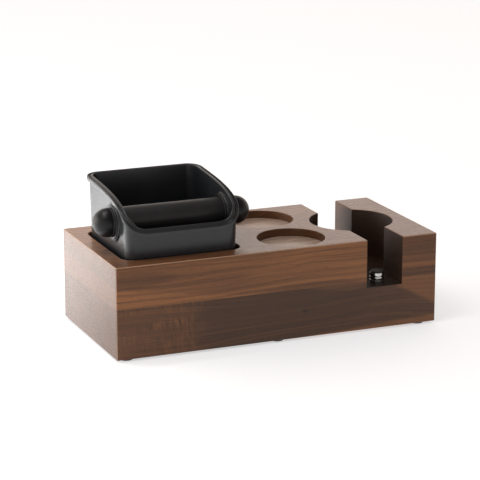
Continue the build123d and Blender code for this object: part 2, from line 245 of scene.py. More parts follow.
class Shell:
    """A mesh under construction, from rings of points in millimetres."""

    def __init__(self):
        self.points = []
        self.faces = []

    def ring(self, points):
        """Adds the points, and returns their indices."""
        start = len(self.points)
        self.points.extend(points)
        return list(range(start, len(self.points)))

    def level(self, outline, z):
        return self.ring([(x, y, z) for x, y in outline])

    def band(self, first, second, closed=True):
        """Quads between two rings with as many points."""
        count = len(first)
        for i in range(count if closed else count - 1):
            j = (i + 1) % count
            self.faces.append((first[i], first[j], second[j], second[i]))

    def wall(self, outline, low, high, low_ease=0.0, high_ease=0.0):
        """An upright wall with rounded ends that turn to the outline's left.
        Returns its lowest and highest rings, ready for caps."""
        profile = [(0.0, low)]
        if low_ease:
            profile = [(low_ease + SUPPORT, low),
                       *arc((low_ease, low + low_ease), low_ease, 270, 180, EASE_STEPS)]
        if high_ease:
            profile += arc((high_ease, high - high_ease), high_ease, 180, 90, EASE_STEPS)
            profile.append((high_ease + SUPPORT, high))
        else:
            profile.append((0.0, high))
        rings = [self.level(inset(outline, out), z) for out, z in profile]
        for first, second in zip(rings, rings[1:]):
            self.band(first, second)
        return rings[0], rings[-1]

    def cap(self, *rings):
        """A level face inside the first ring, with the other rings as holes."""
        order = [i for ring in rings for i in ring]
        flat = [Vector(self.points[i][:2]) for i in order]
        edges, start = [], 0
        for ring in rings:
            count = len(ring)
            edges += [(start + i, start + (i + 1) % count) for i in range(count)]
            start += count
        # Triangles inside the first ring, the holes' own among them.
        spots, _, faces, origins, _, _ = delaunay_2d_cdt(flat, edges, [], 1, 1e-5)
        holes = [[Vector(self.points[i][:2]) for i in ring] for ring in rings[1:]]
        for face in faces:
            middle = sum((spots[i] for i in face), Vector((0, 0))) / len(face)
            if not any(encloses(outline, middle) for outline in holes):
                self.faces.append(tuple(order[origins[i][0]] for i in face))

    def lathe(self, profile, centre, closed=False, sideways=False):
        """A profile of (along, radius) turned about an upright axis, or one along X."""
        steps = LATHE_STEPS
        rings = []
        for along, radius in profile:
            turns = [2 * math.pi * k / steps for k in range(steps if radius > 0 else 1)]
            spokes = [(radius * math.cos(a), radius * math.sin(a)) for a in turns]
            if sideways:
                spots = [(along, centre[0] + u, centre[1] + v) for u, v in spokes]
            else:
                spots = [(centre[0] + u, centre[1] + v, along) for u, v in spokes]
            rings.append(self.ring(spots))
        pairs = list(zip(rings, rings[1:]))
        if closed:
            pairs.append((rings[-1], rings[0]))
        for first, second in pairs:
            if len(first) == 1 or len(second) == 1:
                pole, rim = (first, second) if len(first) == 1 else (second, first)
                for k in range(steps):
                    self.faces.append((pole[0], rim[k], rim[(k + 1) % steps]))
            else:
                self.band(first, second)

    def piece(self, name, body, nodes, material):
        """The finished object, riding on its body in place of its CAD nodes."""
        mesh = bpy.data.meshes.new(name)
        bm = bmesh.new()
        verts = [bm.verts.new(Vector(p) * MM) for p in self.points]
        for face in self.faces:
            if len(set(face)) > 2:
                bm.faces.new([verts[i] for i in dict.fromkeys(face)])
        bmesh.ops.remove_doubles(bm, verts=bm.verts, dist=WELD)
        bmesh.ops.dissolve_degenerate(bm, edges=bm.edges, dist=WELD / 20)
        loose = [v for v in bm.verts if not v.link_faces]
        bmesh.ops.delete(bm, geom=loose, context="VERTS")
        bmesh.ops.recalc_face_normals(bm, faces=bm.faces)
        for face in bm.faces:
            face.smooth = True
        bm.to_mesh(mesh)
        bm.free()
        mesh.set_sharp_from_angle(angle=SMOOTH_BELOW)
        mesh.materials.append(material)
        made = bpy.data.objects.new(name, mesh)
        bpy.context.scene.collection.objects.link(made)
        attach(made, body)
        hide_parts(*nodes)


# ---- Node materials ----


class Surface:
    """A node material under construction. Its textures follow the object in the model's frame."""

    def __init__(self, name):
        self.material = bpy.data.materials.new(name)
        self.material.use_nodes = True
        self.tree = self.material.node_tree
        self.shader = self.tree.nodes["Principled BSDF"]
        self.place = self.tree.nodes.new("ShaderNodeTexCoord").outputs["Object"]

    def node(self, kind, values, **settings):
        made = self.tree.nodes.new(kind)
        for key, value in settings.items():
            setattr(made, key, value)
        for key, value in values.items():
            if isinstance(value, bpy.types.NodeSocket):
                self.tree.links.new(value, made.inputs[key])
            else:
                made.inputs[key].default_value = value
        return made

    def math(self, operation, *values):
        return self.node("ShaderNodeMath", dict(enumerate(values)), operation=operation).outputs[0]

    def length(self, x, y, z):
        """Length of the vector with those parts."""
        joined = self.node("ShaderNodeCombineXYZ", {0: x, 1: y, 2: z}).outputs[0]
        return self.node("ShaderNodeVectorMath", {0: joined}, operation="LENGTH").outputs["Value"]

    def lifted(self, vector, rise):
        """The vector moved up by so many millimetres."""
        lift = self.node("ShaderNodeCombineXYZ", {2: self.math("MULTIPLY", rise, MM)}).outputs[0]
        return self.node("ShaderNodeVectorMath", {0: vector, 1: lift}, operation="ADD").outputs[0]

    def axes(self, vector):
        node = self.node("ShaderNodeSeparateXYZ", {0: vector})
        return [node.outputs[i] for i in range(3)]

    def scaled(self, vector, size, offset=(0, 0, 0), turn=(0, 0, 0)):
        """The vector turned, then divided by a feature size in millimetres along each axis."""
        scale = [1 / (MM * s) for s in size]
        turned = self.node("ShaderNodeMapping", {
            "Vector": vector, "Rotation": [math.radians(t) for t in turn]}).outputs[0]
        return self.node("ShaderNodeMapping", {
            "Vector": turned, "Scale": scale, "Location": offset}).outputs[0]

    def noise(self, vector, detail, rough):
        return self.node("ShaderNodeTexNoise", {
            "Vector": vector, "Scale": 1.0, "Detail": detail, "Roughness": rough}).outputs["Fac"]

    def steps(self, value, low, high, start=0.0, end=1.0):
        """Smooth rise from start to end as the value goes from low to high."""
        return self.node("ShaderNodeMapRange", {
            "Value": value, "From Min": low, "From Max": high, "To Min": start, "To Max": end},
            interpolation_type="SMOOTHSTEP").outputs[0]

    def ramp(self, value, stops):
        node = self.node("ShaderNodeValToRGB", {"Fac": value})
        band = node.color_ramp
        while len(band.elements) < len(stops):
            band.elements.new(0.5)
        for element, (position, colour) in zip(band.elements, stops):
            element.position = position
            element.color = (*colour, 1)
        return node.outputs["Color"]

    def mix(self, share, first, second):
        node = self.tree.nodes.new("ShaderNodeMix")
        node.data_type = "RGBA"
        ends = {"Factor_Float": share, "A_Color": first, "B_Color": second}
        for socket in node.inputs:
            value = ends.get(socket.identifier)
            if isinstance(value, bpy.types.NodeSocket):
                self.tree.links.new(value, socket)
            elif value is not None:
                socket.default_value = (*value, 1) if isinstance(value, tuple) else value
        return [s for s in node.outputs if s.identifier == "Result_Color"][0]

    def bump(self, height, distance, strength):
        node = self.node("ShaderNodeBump", {
            "Height": height, "Distance": distance * MM, "Strength": strength})
        self.tree.links.new(node.outputs[0], self.shader.inputs["Normal"])

    def finish(self, colour, rough, **settings):
        """Links or sets the shader's own sockets."""
        for key, value in {"Base Color": colour, "Roughness": rough, **settings}.items():
            if isinstance(value, bpy.types.NodeSocket):
                self.tree.links.new(value, self.shader.inputs[key])
            else:
                self.shader.inputs[key].default_value = value
        return self.material


# ---- Walnut: tones, sizes in millimetres, and shares of a tone where it is strongest ----

# The darkest wood, which also paints shade on the seats' walls.
HEARTWOOD_AND_SHADE = (0.052, 0.026, 0.016)
BROWN = (0.150, 0.064, 0.028)
ORANGE = (0.31, 0.128, 0.048)
# The pores' colour, which also paints shade in the slot and well.
PORE_AND_SHADE = (0.020, 0.011, 0.008)
END_GRAIN = (0.17, 0.120, 0.098)
# Paler edges: rubbed wear and a painted highlight.
RUBBED_HIGHLIGHT = (0.52, 0.33, 0.22)
SEAT_REFLECTION = (0.64, 0.48, 0.38)  # the seats' floors, paler: a painted reflection

# Sizes of the noise features along X, Y and Z.
DRIFT_SIZE = (190, 60, 60)
FLOW_SIZE = (48, 16, 12)
TONE_SIZE = (260, 40, 22)
FIBRE_SIZE = (60, 0.8, 0.7)
STREAK_SIZE = (170, 3.0, 1.9)
PORE_SIZE = (9, 0.42, 0.42)
RIPPLE_SIZE = (2.0, 40, 12)

GRAIN_DRIFT = 26.0  # how far the grain wanders up and down
GRAIN_DEPTH, GRAIN_BUMP = 0.085, 0.45
RING_WIDTH = 5.4
RING_WOBBLE = 5.0
SLANT_WOBBLE = 4.0
CURL_START, CURL_FULL = -60.0, -100.0  # X where the ripples begin and are strongest
WEAR_REACH = 0.8  # how far wear, painted highlight and end grain reach round an edge
TOP_WEAR = (0.9, 0.35)  # below the top, where its edges' wear and painted highlight start and are full
FLOOR_MARGIN = (0.3, 0.1)  # past a cut's wall or floor, where its mask starts and is full
SEAT_MARGIN = (1.0, 0.5)  # below a seat's floor, likewise
REFLECTION_MARGIN = (0.5, 0.3)  # above a seat's floor, likewise
REFLECTION_INSET = 0.8  # from a seat's wall
SHADE_FADE = (66.0, 30.0)  # Y where the slot's painted shade starts and is full

LATE_WOOD = 0.34
FIBRES = 0.30
STREAKS = 0.42
STREAK_GAPS = 0.30
PITS = 0.55  # the open pores
END_SHARE = 0.70
RUBBED_HIGHLIGHT_SHARE = 0.70
SLOT_SHADE_SHARE = 0.90
SLOT_SHADE_BACK = 0.25  # of the cut's painted shade that is left at the back
SEAT_WALL_SHADE_SHARE = 0.55
REFLECTION_SHARES = (0.92, 0.55)  # between the streaks, and in them


def shaded(s, colour, x, z, wander, areas, slants):
    """The colour with areas of other tones. areas are soft ovals in X and Z, as (centre, size,
    tone, share). slants colour the wood on one side of a line, as (start, end, softness, tone,
    share), below the line where softness is positive and above it otherwise."""
    for (cx, cz), (width, height), tone, share in areas:
        away = s.length(s.math("DIVIDE", s.math("SUBTRACT", x, cx), width), 0.0,
                        s.math("DIVIDE", s.math("SUBTRACT", z, cz), height))
        colour = s.mix(s.steps(s.math("ADD", away, wander), 0.55, 1.1, share, 0.0), colour, tone)
    for (x0, z0), (x1, z1), soft, tone, share in slants:
        rise = s.math("MULTIPLY", s.math("SUBTRACT", x, x0), (z1 - z0) / (x1 - x0))
        over = s.math("SUBTRACT", s.math("SUBTRACT", z, z0), rise)
        over = s.math("ADD", over, s.math("MULTIPLY", wander, SLANT_WOBBLE))
        colour = s.mix(s.steps(over, -soft, soft, share, 0.0), colour, tone)
    return colour


def curled(s, colour, x, flow, seed, strength):
    """The colour with ripples across the grain at the block's left end."""
    ripple = s.noise(s.scaled(s.place, RIPPLE_SIZE, (seed, 0, 0), turn=(0, 6, 0)), 2, 0.5)
    left = s.math("MULTIPLY", s.steps(x, CURL_START, CURL_FULL, 0.0, strength),
                  s.steps(flow, 0.35, 0.6))
    dark = s.math("MULTIPLY", left, s.steps(ripple, 0.50, 0.66))
    pale = s.math("MULTIPLY", left, s.steps(ripple, 0.46, 0.34, 0.0, 0.4))
    return s.mix(pale, s.mix(dark, colour, HEARTWOOD_AND_SHADE), ORANGE)


def worn_and_highlit(s, colour, x, y, z):
    """End grain on the block's ends, and paler edges: rubbed wear and a painted highlight."""

    def near(value, low, high):
        """1 where the value is at either end of a span."""
        away = s.math("ABSOLUTE", s.math("SUBTRACT", value, (low + high) / 2))
        start = (high - low) / 2 - WEAR_REACH
        return s.steps(away, start, start + WEAR_REACH * 0.6)

    at_end = near(x, LOWER.x, LOWER_END.x)
    at_side = near(y, FRONT, BACK)
    at_top = s.steps(z, TOP - TOP_WEAR[0], TOP - TOP_WEAR[1])
    edges = s.math("MAXIMUM", s.math("MULTIPLY", at_end, at_side),
                   s.math("MULTIPLY", at_top, s.math("MAXIMUM", at_end, at_side)))
    colour = s.mix(s.math("MULTIPLY", at_end, END_SHARE), colour, END_GRAIN)
    # Painted highlight, with rubbed wear: the edges paler.
    return s.mix(s.math("MULTIPLY", edges, RUBBED_HIGHLIGHT_SHARE), colour, RUBBED_HIGHLIGHT)


def hollowed(s, colour, x, y, z, streak):
    """The colour with painted shade in the slot and well and on the seats' walls, and a painted
    reflection that makes the seats' floors paler. Returns it with the mask of the slot and well."""

    def within(away, reach):
        """1 up to and including a wall at that reach."""
        return s.steps(away, reach + FLOOR_MARGIN[0], reach + FLOOR_MARGIN[1])

    def inside(centre, radius):
        """1 inside an upright cylinder."""
        away = s.length(s.math("SUBTRACT", x, centre[0]), s.math("SUBTRACT", y, centre[1]), 0.0)
        return within(away, radius)

    slot = within(s.math("ABSOLUTE", s.math("SUBTRACT", x, REST[0])), TOWER.x - REST[0])
    cut = s.math("MAXIMUM", slot, inside((REST[0], 0.0), WELL_RADIUS))
    above = s.steps(z, REST_FLOOR - FLOOR_MARGIN[0], REST_FLOOR - FLOOR_MARGIN[1])
    cut = s.math("MULTIPLY", cut, above)
    cut = s.math("MULTIPLY", cut, s.steps(y, *SHADE_FADE, SLOT_SHADE_BACK, 1.0))
    # Painted shade: the slot and well darkened, less towards the back.
    colour = s.mix(s.math("MULTIPLY", cut, SLOT_SHADE_SHARE), colour, PORE_AND_SHADE)

    floor = TOP - SEAT_DEPTH
    recess = s.math("MAXIMUM", *(inside(centre, SEAT_RADIUS) for centre in SEATS))
    above = s.steps(z, floor - SEAT_MARGIN[0], floor - SEAT_MARGIN[1])
    recess = s.math("MULTIPLY", recess, above)
    # Painted shade on the seats' walls.
    colour = s.mix(s.math("MULTIPLY", recess, SEAT_WALL_SHADE_SHARE), colour, HEARTWOOD_AND_SHADE)
    seat = s.math("MAXIMUM", *(inside(centre, SEAT_RADIUS - REFLECTION_INSET) for centre in SEATS))
    below = s.steps(z, floor + REFLECTION_MARGIN[0], floor + REFLECTION_MARGIN[1])
    seat = s.math("MULTIPLY", s.math("MULTIPLY", seat, recess), below)
    seat_reflection = s.math("MULTIPLY", seat, s.steps(streak, 0.38, 0.62, *REFLECTION_SHARES))
    # Painted reflection: the seats' floors paler, less in the streaks.
    return s.mix(seat_reflection, colour, SEAT_REFLECTION), cut


def walnut(name, seed, heart, tones, areas, slants, contrast, curl=0.0):
    """Oiled walnut cut from a log along X. heart is where the pith lies, in millimetres (y, z).
    tones are its darkest and lightest ground colours, and areas and slants are as in shaded.
    contrast is the strength of its rings and streaks, and curl that of its ripples."""
    s = Surface(name)
    x, y, z = s.axes(s.scaled(s.place, (1, 1, 1)))
    drift = s.noise(s.scaled(s.place, DRIFT_SIZE, (seed, 0, 0)), 1, 0.5)
    flow = s.noise(s.scaled(s.place, FLOW_SIZE, (0, seed, 0)), 3, 0.55)
    bend = s.math("MULTIPLY", s.math("SUBTRACT", drift, 0.5), GRAIN_DRIFT)
    flowing = s.lifted(s.place, bend)
    tone = s.noise(s.scaled(flowing, TONE_SIZE, (0, 0, seed)), 2, 0.5)
    colour = s.ramp(tone, [(0.34, tones[0]), (0.66, tones[1])])
    colour = shaded(s, colour, x, z, s.math("SUBTRACT", flow, 0.5), areas, slants)

    from_pith = s.length(0.0, s.math("SUBTRACT", y, heart[0]),
                         s.math("SUBTRACT", s.math("ADD", z, bend), heart[1]))
    wobbly = s.math("ADD", from_pith, s.math("MULTIPLY", flow, RING_WOBBLE))
    ring = s.math("FRACT", s.math("DIVIDE", wobbly, RING_WIDTH))
    late = s.math("MULTIPLY", s.steps(ring, 0.30, 0.90), s.steps(ring, 0.90, 1.0, 1.0, 0.0))
    fibre = s.noise(s.scaled(flowing, FIBRE_SIZE, (seed, seed, 0)), 4, 0.6)
    streak = s.noise(s.scaled(flowing, STREAK_SIZE, (0, seed, seed)), 3, 0.6)
    colour = s.mix(s.math("MULTIPLY", late, LATE_WOOD * contrast), colour, HEARTWOOD_AND_SHADE)
    colour = s.mix(s.steps(fibre, 0.40, 0.70, 0.0, FIBRES * contrast), colour, HEARTWOOD_AND_SHADE)
    colour = s.mix(s.steps(streak, 0.48, 0.70, 0.0, STREAKS * contrast), colour, HEARTWOOD_AND_SHADE)
    colour = s.mix(s.steps(streak, 0.30, 0.48, STREAK_GAPS * contrast, 0.0), colour, ORANGE)
    if curl:
        colour = curled(s, colour, x, flow, seed, curl)
    pore = s.noise(s.scaled(s.place, PORE_SIZE, (seed, 0, seed)), 1, 0.5)
    pit = s.steps(pore, 0.66, 0.74)
    colour = s.mix(s.math("MULTIPLY", pit, PITS), colour, PORE_AND_SHADE)
    colour, cut = hollowed(s, worn_and_highlit(s, colour, x, y, z), x, y, z, streak)

    height = s.math("SUBTRACT", s.math("MULTIPLY", fibre, 0.6), s.math("MULTIPLY", pit, 0.8))
    s.bump(height, GRAIN_DEPTH, GRAIN_BUMP)
    rough = s.math("ADD", s.steps(fibre, 0.3, 0.7, 0.25, 0.32), s.math("MULTIPLY", pit, 0.12))
    rough = s.math("ADD", rough, s.math("MULTIPLY", cut, 0.2))
    return s.finish(colour, rough, IOR=1.33)


def moulded(name, base, rough, grain, depth, index=1.5):
    """Moulded plastic or rubber: a fine grained skin with faint handling marks."""
    s = Surface(name)
    skin = s.noise(s.scaled(s.place, (grain, grain, grain)), 4, 0.7)
    cloud = s.noise(s.scaled(s.place, (34, 34, 26)), 3, 0.6)
    scuff = s.noise(s.scaled(s.place, (9, 14, 1.1), turn=(12, 8, 0)), 3, 0.7)
    dusty = tuple(c * 1.5 + 0.004 for c in base)
    colour = s.mix(s.steps(cloud, 0.35, 0.75, 0.0, 0.4), base, dusty)
    shine = s.steps(scuff, 0.35, 0.75, rough - 0.02, rough + 0.03)
    s.bump(skin, depth, 0.6)
    return s.finish(colour, shine, IOR=index)


def metal(name, base, rough, size):
    """Turned metal: fine marks that run round the upright axis."""
    s = Surface(name)
    marks = s.noise(s.scaled(s.place, size), 3, 0.7)
    cloud = s.noise(s.scaled(s.place, (4, 4, 4)), 2, 0.5)
    dull = tuple(c * 0.65 for c in base)
    colour = s.mix(s.steps(cloud, 0.4, 0.7, 0.0, 0.5), base, dull)
    shine = s.steps(marks, 0.3, 0.7, rough * 0.7, rough * 1.5)
    s.bump(marks, 0.01, 0.4)
    return s.finish(colour, shine, Metallic=1.0)


def make_materials():
    umber, chestnut = (0.070, 0.034, 0.019), (0.26, 0.110, 0.044)
    upper_areas = [
        ((-138, 69), (42, 7), HEARTWOOD_AND_SHADE, 0.40),
        ((45, 66), (90, 24), ORANGE, 0.35),
        ((28, SEAM - 1), (52, 7), HEARTWOOD_AND_SHADE, 0.50),
    ]
    upper_slants = [((-150, SEAM + 17), (-30, SEAM), 2.2, ORANGE, 0.60)]
    lower_areas = [
        ((-5, 24), (130, 44), HEARTWOOD_AND_SHADE, 0.66),
        ((-115, 22), (52, 40), BROWN, 0.50),
        ((58, SEAM + 1), (34, 8), BROWN, 0.55),
        ((23, 26), (3.4, 2.2), PORE_AND_SHADE, 0.6),
    ]
    lower_slants = [
        ((98, SEAM), (150, 19), -2.5, ORANGE, 0.40),
        ((10, UNDERSIDE), (150, UNDERSIDE + 7), 1.6, ORANGE, 0.42),
    ]
    tower_areas = [
        ((125, 56), (60, 3.5), ORANGE, 0.25),
        # This oval paints the tower's top paler, a painted reflection.
        ((125, TOP + 2), (60, 4), ORANGE, 0.40),
    ]
    tower_slants = [((110, SEAM + 8), (150, SEAM + 8), 2.0, HEARTWOOD_AND_SHADE, 0.55)]
    return {
        "lower": walnut("walnut_lower", 3.1, (-60.0, -190.0), (umber, (0.105, 0.050, 0.027)),
                        lower_areas, lower_slants, contrast=0.45, curl=0.75),
        "upper": walnut("walnut_upper", 7.7, (-90.0, -120.0), ((0.165, 0.070, 0.030), chestnut),
                        upper_areas, upper_slants, contrast=0.9),
        "tower": walnut("walnut_tower", 7.7, (-90.0, -120.0), ((0.105, 0.047, 0.024), BROWN),
                        tower_areas, tower_slants, contrast=0.7),
        "abs": moulded("black_abs", (0.0135, 0.0155, 0.0185), 0.30, 0.5, 0.012),
        "nylon": moulded("black_nylon", (0.012, 0.012, 0.013), 0.42, 0.6, 0.012),
        "bar": moulded("bar_rubber", (0.019, 0.0193, 0.0205), 0.42, 0.45, 0.03, 1.40),
        "dome": moulded("cap_rubber", (0.004, 0.0042, 0.0048), 0.38, 0.45, 0.03, 1.36),
        "foot": moulded("black_rubber", (0.014, 0.014, 0.015), 0.62, 0.4, 0.03),
        "pad": moulded("grey_rubber", (0.008, 0.008, 0.009), 0.60, 0.4, 0.03),
        "steel": metal("polished_steel", (0.55, 0.545, 0.53), 0.16, (6, 6, 0.25)),
        "zinc": metal("zinc_steel", (0.58, 0.59, 0.61), 0.30, (0.5, 0.5, 0.5)),
        "brass": metal("turned_brass", (0.78, 0.58, 0.26), 0.25, (5, 5, 0.3)),
    }


# ---- Wooden boards ----


def slot_outlines():
    """The outlines of the wood left and right of the slot, both anticlockwise."""
    centre = (REST[0], 0.0)
    half = TOWER.x - REST[0]
    reach = math.degrees(math.asin(half / WELL_RADIUS))
    left_well = arc(centre, WELL_RADIUS, 270 - reach, 90 + reach, WELL_STEPS)
    right_well = arc(centre, WELL_RADIUS, 90 - reach, reach - 90, WELL_STEPS)
    left = eased([(UPPER.x, FRONT), (UPPER_END.x, FRONT), *left_well,
                  (UPPER_END.x, BACK), (UPPER.x, BACK)], CORNER)
    right = eased([(TOWER_END.x, FRONT), (TOWER_END.x, BACK), (TOWER.x, BACK), *right_well,
                   (TOWER.x, FRONT)], CORNER)
    return left, right


def between(outline, start, end):
    """The points of a closed outline from one index to another, both included."""
    count = len(outline)
    result = [outline[start]]
    while start != end:
        start = (start + 1) % count
        result.append(outline[start])
    return result


def split_island(outline, towards):
    """The outer part and the slot part of an island, whose slot lies towards +1 or -1 in X.
    They meet where the slot's rounded corners reach the front and back faces."""
    on_front = [i for i, p in enumerate(outline) if abs(p[1] - FRONT) < TOUCH]
    on_back = [i for i, p in enumerate(outline) if abs(p[1] - BACK) < TOUCH]
    front = max(on_front, key=lambda i: towards * outline[i][0])
    back = max(on_back, key=lambda i: towards * outline[i][0])
    if towards > 0:
        return between(outline, back, front), between(outline, front, back)
    return between(outline, front, back), between(outline, back, front)


def pocket_outline():
    """Clockwise, so that the wood is on its left."""
    half_x, half_y = POCKET_SIZE[0] / 2, POCKET_SIZE[1] / 2
    cx, cy = POCKET_CENTRE
    corners = [(cx - half_x, cy - half_y), (cx - half_x, cy + half_y),
               (cx + half_x, cy + half_y), (cx + half_x, cy - half_y)]
    return eased(corners, POCKET_CORNER, POCKET_STEPS)


def upper_board(material):
    shell = Shell()
    left, _ = slot_outlines()
    outer_low, outer_high = shell.wall(left, SEAM, TOP, high_ease=EDGE_EASE)
    pocket_low, pocket_high = shell.wall(pocket_outline(), SEAM, TOP, high_ease=EDGE_EASE)
    mouths = []
    for seat in SEATS:
        low, high = shell.wall(hole(seat, SEAT_RADIUS, SEAT_STEPS), TOP - SEAT_DEPTH, TOP,
                               high_ease=EDGE_EASE)
        shell.cap(low)
        mouths.append(high)
    shell.cap(outer_high, pocket_high, *mouths)
    shell.cap(outer_low, pocket_low)
    shell.piece("upper_board_wood", "block", ["upper_board"], material)


def tower(material):
    shell = Shell()
    _, right = slot_outlines()
    low, high = shell.wall(right, SEAM, TOP, high_ease=EDGE_EASE)
    shell.cap(high)
    shell.cap(low)
    shell.piece("cradle_tower_wood", "block", ["cradle_tower"], material)


def lower_board(material):
    shell = Shell()
    left, right = slot_outlines()
    left_outer, left_slot = split_island(left, 1)
    right_outer, right_slot = split_island(right, -1)
    body = [*left_outer, *right_outer]
    bottom, _ = shell.wall(body, UNDERSIDE, REST_FLOOR, low_ease=EDGE_EASE)
    _, left_high = shell.wall(left, REST_FLOOR, SEAM)
    _, right_high = shell.wall(right, REST_FLOOR, SEAM)
    pocket_low, pocket_high = shell.wall(pocket_outline(), POCKET_FLOOR, SEAM)
    shell.cap(pocket_low)
    shell.cap(left_high, pocket_high)
    shell.cap(right_high)
    insert = hole(REST, INSERT_RADIUS, INSERT_STEPS)
    insert_low, insert_high = shell.wall(insert, INSERT_FLOOR, REST_FLOOR)
    shell.cap(insert_low)
    floor = shell.level([*right_slot[::-1], *left_slot[::-1]], REST_FLOOR)
    shell.cap(floor, insert_high)
    sockets = []
    for x in FOOT_XS:
        for y in (-FOOT_Y, FOOT_Y):
            socket = hole((x, y), SOCKET_RADIUS, SOCKET_STEPS)
            low, high = shell.wall(socket, UNDERSIDE, UNDERSIDE + SOCKET_DEPTH)
            shell.cap(high)
            sockets.append(low)
    shell.cap(bottom, *sockets)
    shell.piece("lower_board_wood", "block", ["lower_board"], material)


# ---- Knock box ----


def rim_height(x, y):
    """Height of the rim over a point in plan, x from the bin's middle."""
    fall = (RIM_REACH - y) / (2 * RIM_REACH)
    side = RIM_BACK_Z - RIM_SLOPE * fall
    side -= RIM_BEND * fall**BEND_POWER + RIM_NOSE * fall**NOSE_POWER
    sweep = LIP_SWEEP * (abs(x) / LIP_HALF) ** LIP_POWER
    lip = LIP_Z + (y - LIP_Y) * LIP_TILT + sweep
    near = max(RIM_BLEND - abs(side - lip), 0.0)
    return min(side, lip) - near**2 / (4 * RIM_BLEND)


def spaced(start, end, count):
    """count steps from start, without the end."""
    return [start + (end - start) * k / count for k in range(count)]


def bin_columns():
    """Plan points of the bin's outside at its underside, with their outward directions.
    Returns them with the column where each boss patch starts, and the side in X it is on."""
    straight_x = BIN_HALF_X - BIN_CORNER
    straight_y = BIN_HALF_Y - BIN_CORNER
    patch_low, patch_high = BAR_Y - PATCH_HALF, BAR_Y + PATCH_HALF
    before, behind = SIDE_CELLS
    side = [*spaced(-straight_y, patch_low, before), *spaced(patch_low, patch_high, PATCH_CELLS),
            *spaced(patch_high, straight_y, behind), straight_y]
    front = [*spaced(-straight_x, straight_x, FRONT_CELLS), straight_x]
    columns = [((BIN_HALF_X, y), (1.0, 0.0)) for y in side]
    starts = [(before, 1)]

    def corner(cx, cy, start):
        for away in arc((0, 0), 1.0, start, start + 90, CORNER_CELLS)[1:-1]:
            columns.append(((cx + BIN_CORNER * away[0], cy + BIN_CORNER * away[1]), away))

    corner(straight_x, straight_y, 0)
    columns.extend(((x, BIN_HALF_Y), (0.0, 1.0)) for x in front[::-1])
    corner(-straight_x, straight_y, 90)
    starts.append((len(columns) + behind, -1))
    columns.extend(((-BIN_HALF_X, y), (-1.0, 0.0)) for y in side[::-1])
    corner(-straight_x, -straight_y, 180)
    columns.extend(((x, -BIN_HALF_Y), (0.0, -1.0)) for x in front)
    corner(straight_x, -straight_y, 270)
    return columns, starts


def bin_row(columns, out, height):
    """One ring round the bin. height is a level, or a function of plan x and y."""
    points = []
    for (x, y), (nx, ny) in columns:
        z = height(x, y) if callable(height) else height
        spread = out + (z - BIN_BOTTOM) * DRAFT
        points.append((BIN_CENTRE + x + nx * spread, y + ny * spread, z))
    return points


def rim_row(columns, out, up):
    """One ring at the rim, out from the wall and up from the rim's top."""
    points = []
    for (x, y), (nx, ny) in columns:
        spread = out + (rim_height(x, y) - BIN_BOTTOM) * DRAFT
        px, py = x + nx * spread, y + ny * spread
        points.append((BIN_CENTRE + px, py, rim_height(px, py) + up))
    return points


def boss_rings(shell, edge, side, out, face):
    """Rings from the edge of a square of wall in to the round boss's bore, which is returned.
    out is the wall's surface from the bin's outside, and face the boss's from its middle."""
    first = shell.points[edge[0]]
    start = math.atan2(first[2] - BAR_Z, first[1] - BAR_Y)
    second = shell.points[edge[1]]
    forward = (first[1] - BAR_Y) * (second[2] - BAR_Z) - (first[2] - BAR_Z) * (second[1] - BAR_Y)
    turn = math.copysign(2 * math.pi / len(edge), forward)
    ring = edge
    for radius, share in BOSS_STEP:
        points = []
        for k in range(len(edge)):
            y = BAR_Y + radius * math.cos(start + k * turn)
            z = BAR_Z + radius * math.sin(start + k * turn)
            wall = BIN_HALF_X + out + (z - BIN_BOTTOM) * DRAFT
            points.append((BIN_CENTRE + side * (wall * (1 - share) + face * share), y, z))
        fresh = shell.ring(points)
        shell.band(ring, fresh)
        ring = fresh
    return ring


